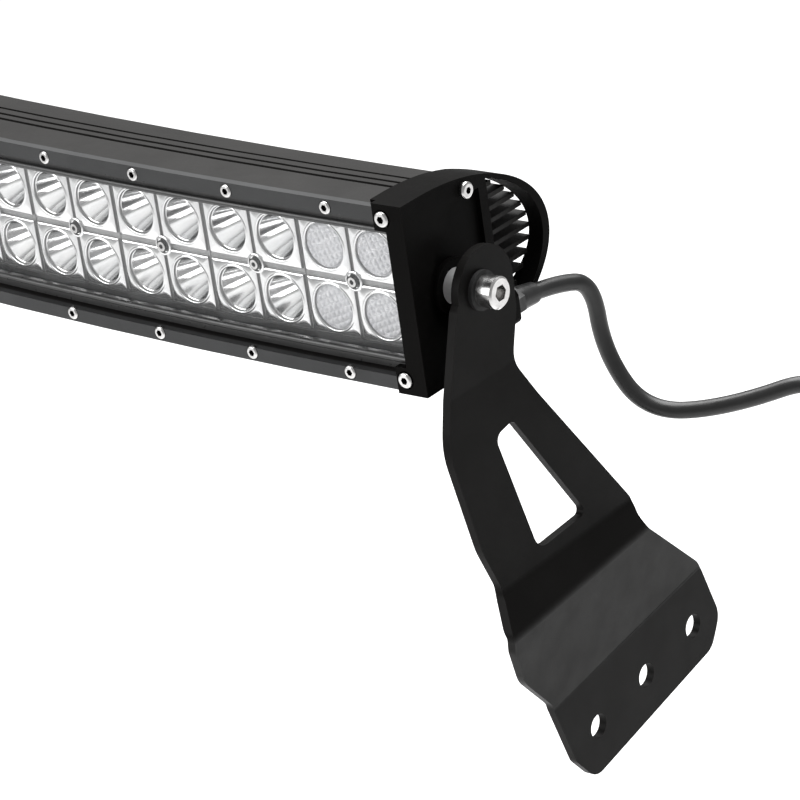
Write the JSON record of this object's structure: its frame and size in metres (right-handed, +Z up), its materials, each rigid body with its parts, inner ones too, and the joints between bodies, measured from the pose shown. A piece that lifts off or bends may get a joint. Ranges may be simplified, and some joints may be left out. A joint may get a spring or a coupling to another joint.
{
  "type": "led light bar",
  "caption": "Curved two-row LED light bar with finned housing, clear lens, screwed bezels, end caps, tilting bent-plate brackets and a pigtail cable.",
  "frame": {"origin": "midway between the middle fixing holes of the right and left bracket feet, on their outer faces", "axes": "+X to the bar's right end, -Y the lit front, +Z up"},
  "size_m": [1.3526, 0.2435, 0.2696],
  "materials": {
    "housing_coat": "fine textured black powder coat on extruded aluminium",
    "cap_coat": "satin black powder coat on cast aluminium",
    "bezel_coat": "fine textured black powder coat on aluminium strip",
    "bracket_coat": "smooth satin black powder coat on steel sheet",
    "lens_clear": "clear hard-coated polycarbonate",
    "seal_rubber": "satin black rubber extrusion",
    "gasket_rubber": "matt silicone rubber",
    "reflector_chrome": "vacuum metallised plastic",
    "flood_clear": "moulded clear optic with a waffle face",
    "board_white": "white solder mask",
    "emitter_yellow": "phosphor over a small chip",
    "board_green": "green solder mask",
    "driver_plastic": "black moulded parts",
    "standoff_brass": "turned brass",
    "stainless": "bright stainless",
    "washer_black": "black washer",
    "spacer_grey": "plain turned spacer",
    "gland_plastic": "moulded black nylon",
    "cable_rubber": "satin black sheath",
    "connector_plastic": "moulded black nylon",
    "contact_metal": "plated contacts"
  },
  "bodies": {
    "bar": {"housing": "housing_coat", "right_end_cap": "cap_coat", "left_end_cap": "cap_coat", "bezel_top": "bezel_coat", "bezel_bottom": "bezel_coat", "lens": "lens_clear", "lens_seal_top": "seal_rubber", "lens_seal_bottom": "seal_rubber", "lens_gasket": "gasket_rubber", "right_cap_gasket": "gasket_rubber", "left_cap_gasket": "gasket_rubber", "reflector_01": "reflector_chrome", "reflector_02": "reflector_chrome", "reflector_03": "reflector_chrome", "reflector_04": "reflector_chrome", "reflector_05": "reflector_chrome", "reflector_06": "reflector_chrome", "reflector_07": "reflector_chrome", "reflector_08": "reflector_chrome", "reflector_09": "reflector_chrome", "reflector_10": "reflector_chrome", "reflector_11": "reflector_chrome", "reflector_12": "reflector_chrome", "reflector_13": "reflector_chrome", "reflector_14": "reflector_chrome", "reflector_15": "reflector_chrome", "reflector_16": "reflector_chrome", "reflector_17": "reflector_chrome", "reflector_18": "reflector_chrome", "reflector_19": "reflector_chrome", "reflector_20": "reflector_chrome", "reflector_21": "reflector_chrome", "reflector_22": "reflector_chrome", "reflector_23": "reflector_chrome", "reflector_24": "reflector_chrome", "flood_optics": "flood_clear", "led_board_1": "board_white", "led_board_2": "board_white", "led_board_3": "board_white", "led_board_4": "board_white", "led_emitters": "emitter_yellow", "driver_board": "board_green", "driver_parts": "driver_plastic", "driver_standoffs": "standoff_brass", "bezel_screws": "stainless", "corner_screws": "stainless", "end_cap_screws": "stainless", "reflector_screws": "stainless", "pivot_bolts": "stainless", "pivot_washers": "washer_black", "pivot_spacers": "spacer_grey", "cable_gland": "gland_plastic", "cable": "cable_rubber", "connector_relief": "cable_rubber", "connector_body": "connector_plastic", "connector_contacts": "contact_metal"},
    "right_bracket": {"right_bracket": "bracket_coat"},
    "left_bracket": {"left_bracket": "bracket_coat"}
  },
  "joints": [
    {"name": "right_bracket_tilt", "type": "hinge", "parent": "bar", "child": "right_bracket", "pos_m": [0.6246, -0.06865, 0.2018], "axis": [0.9769, 0.2136, 0], "range_deg": [-30, 10]},
    {"name": "left_bracket_tilt", "type": "hinge", "parent": "bar", "child": "left_bracket", "pos_m": [-0.6246, -0.06865, 0.2018], "axis": [0.9769, -0.2136, 0], "range_deg": [-30, 10]}
  ],
  "couplings": [
    {"joint": "left_bracket_tilt", "follows": "right_bracket_tilt", "ratio": 1}
  ]
}
